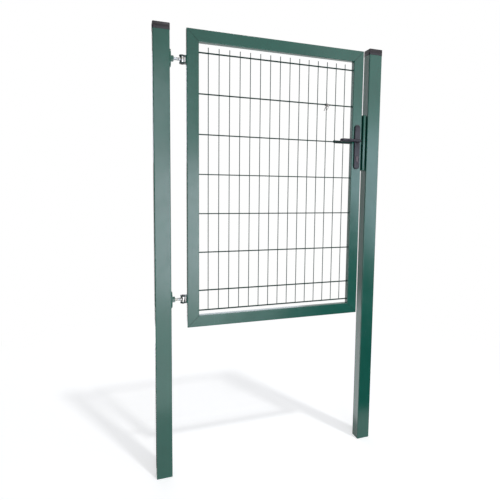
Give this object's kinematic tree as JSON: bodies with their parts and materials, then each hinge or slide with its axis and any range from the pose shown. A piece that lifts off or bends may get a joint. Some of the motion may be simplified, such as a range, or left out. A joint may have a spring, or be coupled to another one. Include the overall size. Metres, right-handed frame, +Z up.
{
  "type": "mesh panel gate",
  "caption": "Single-leaf garden gate of welded twin-wire mesh in a square-tube frame, hung on adjustable eye-bolt hinges between its posts, with lever handles, a cylinder lock and a keeper.",
  "frame": {"origin": "centre of the hinge post's foot, at ground level", "axes": "+X along the closed leaf from the hinge post to the lock post, +Y through the gate from the side it opens towards to the other side, +Z up"},
  "size_m": [1.26, 0.122, 2.296],
  "materials": {
    "green_paint": "moss-green powder coat, satin gloss",
    "mesh_wire": "dark green powder coat over galvanised wire",
    "post_cap": "dark brown-black moulded plastic",
    "zinc_plate": "bright zinc plate",
    "handle_paint": "dark grey satin coat",
    "lock_cylinder": "burnished dark plating"
  },
  "bodies": {
    "posts": {"hinge_post": "green_paint", "hinge_post_cap": "post_cap", "lock_post": "green_paint", "lock_post_cap": "post_cap", "upper_hinge_plate": "green_paint", "lower_hinge_plate": "green_paint", "upper_hinge_nut": "green_paint", "lower_hinge_nut": "green_paint", "upper_eye_bolt": "zinc_plate", "lower_eye_bolt": "zinc_plate", "keeper_back": "green_paint", "strike_plate": "green_paint"},
    "leaf": {"hinge_stile": "green_paint", "lock_stile": "green_paint", "top_rail": "green_paint", "bottom_rail": "green_paint", "mesh_panel": "mesh_wire", "upper_hinge_bracket": "green_paint", "lower_hinge_bracket": "green_paint", "upper_hinge_pin": "zinc_plate", "lower_hinge_pin": "zinc_plate", "front_handle_plate": "handle_paint", "back_handle_plate": "handle_paint", "lock_case": "zinc_plate", "latch_bolt": "zinc_plate", "lock_cylinder": "lock_cylinder"},
    "handle": {"front_lever": "handle_paint", "back_lever": "handle_paint", "lever_spindle": "zinc_plate"}
  },
  "joints": [
    {"name": "gate_swing", "type": "hinge", "parent": "posts", "child": "leaf", "pos_m": [0.101, 0, 1.532], "axis": [0, 0, -1], "range_deg": [0, 95]},
    {"name": "handle_turn", "type": "hinge", "parent": "leaf", "child": "handle", "pos_m": [1.08, 0, 1.78], "axis": [0, -1, 0], "range_deg": [0, 40], "stiffness_Nm_per_rad": 1, "springref_deg": -34.38}
  ]
}
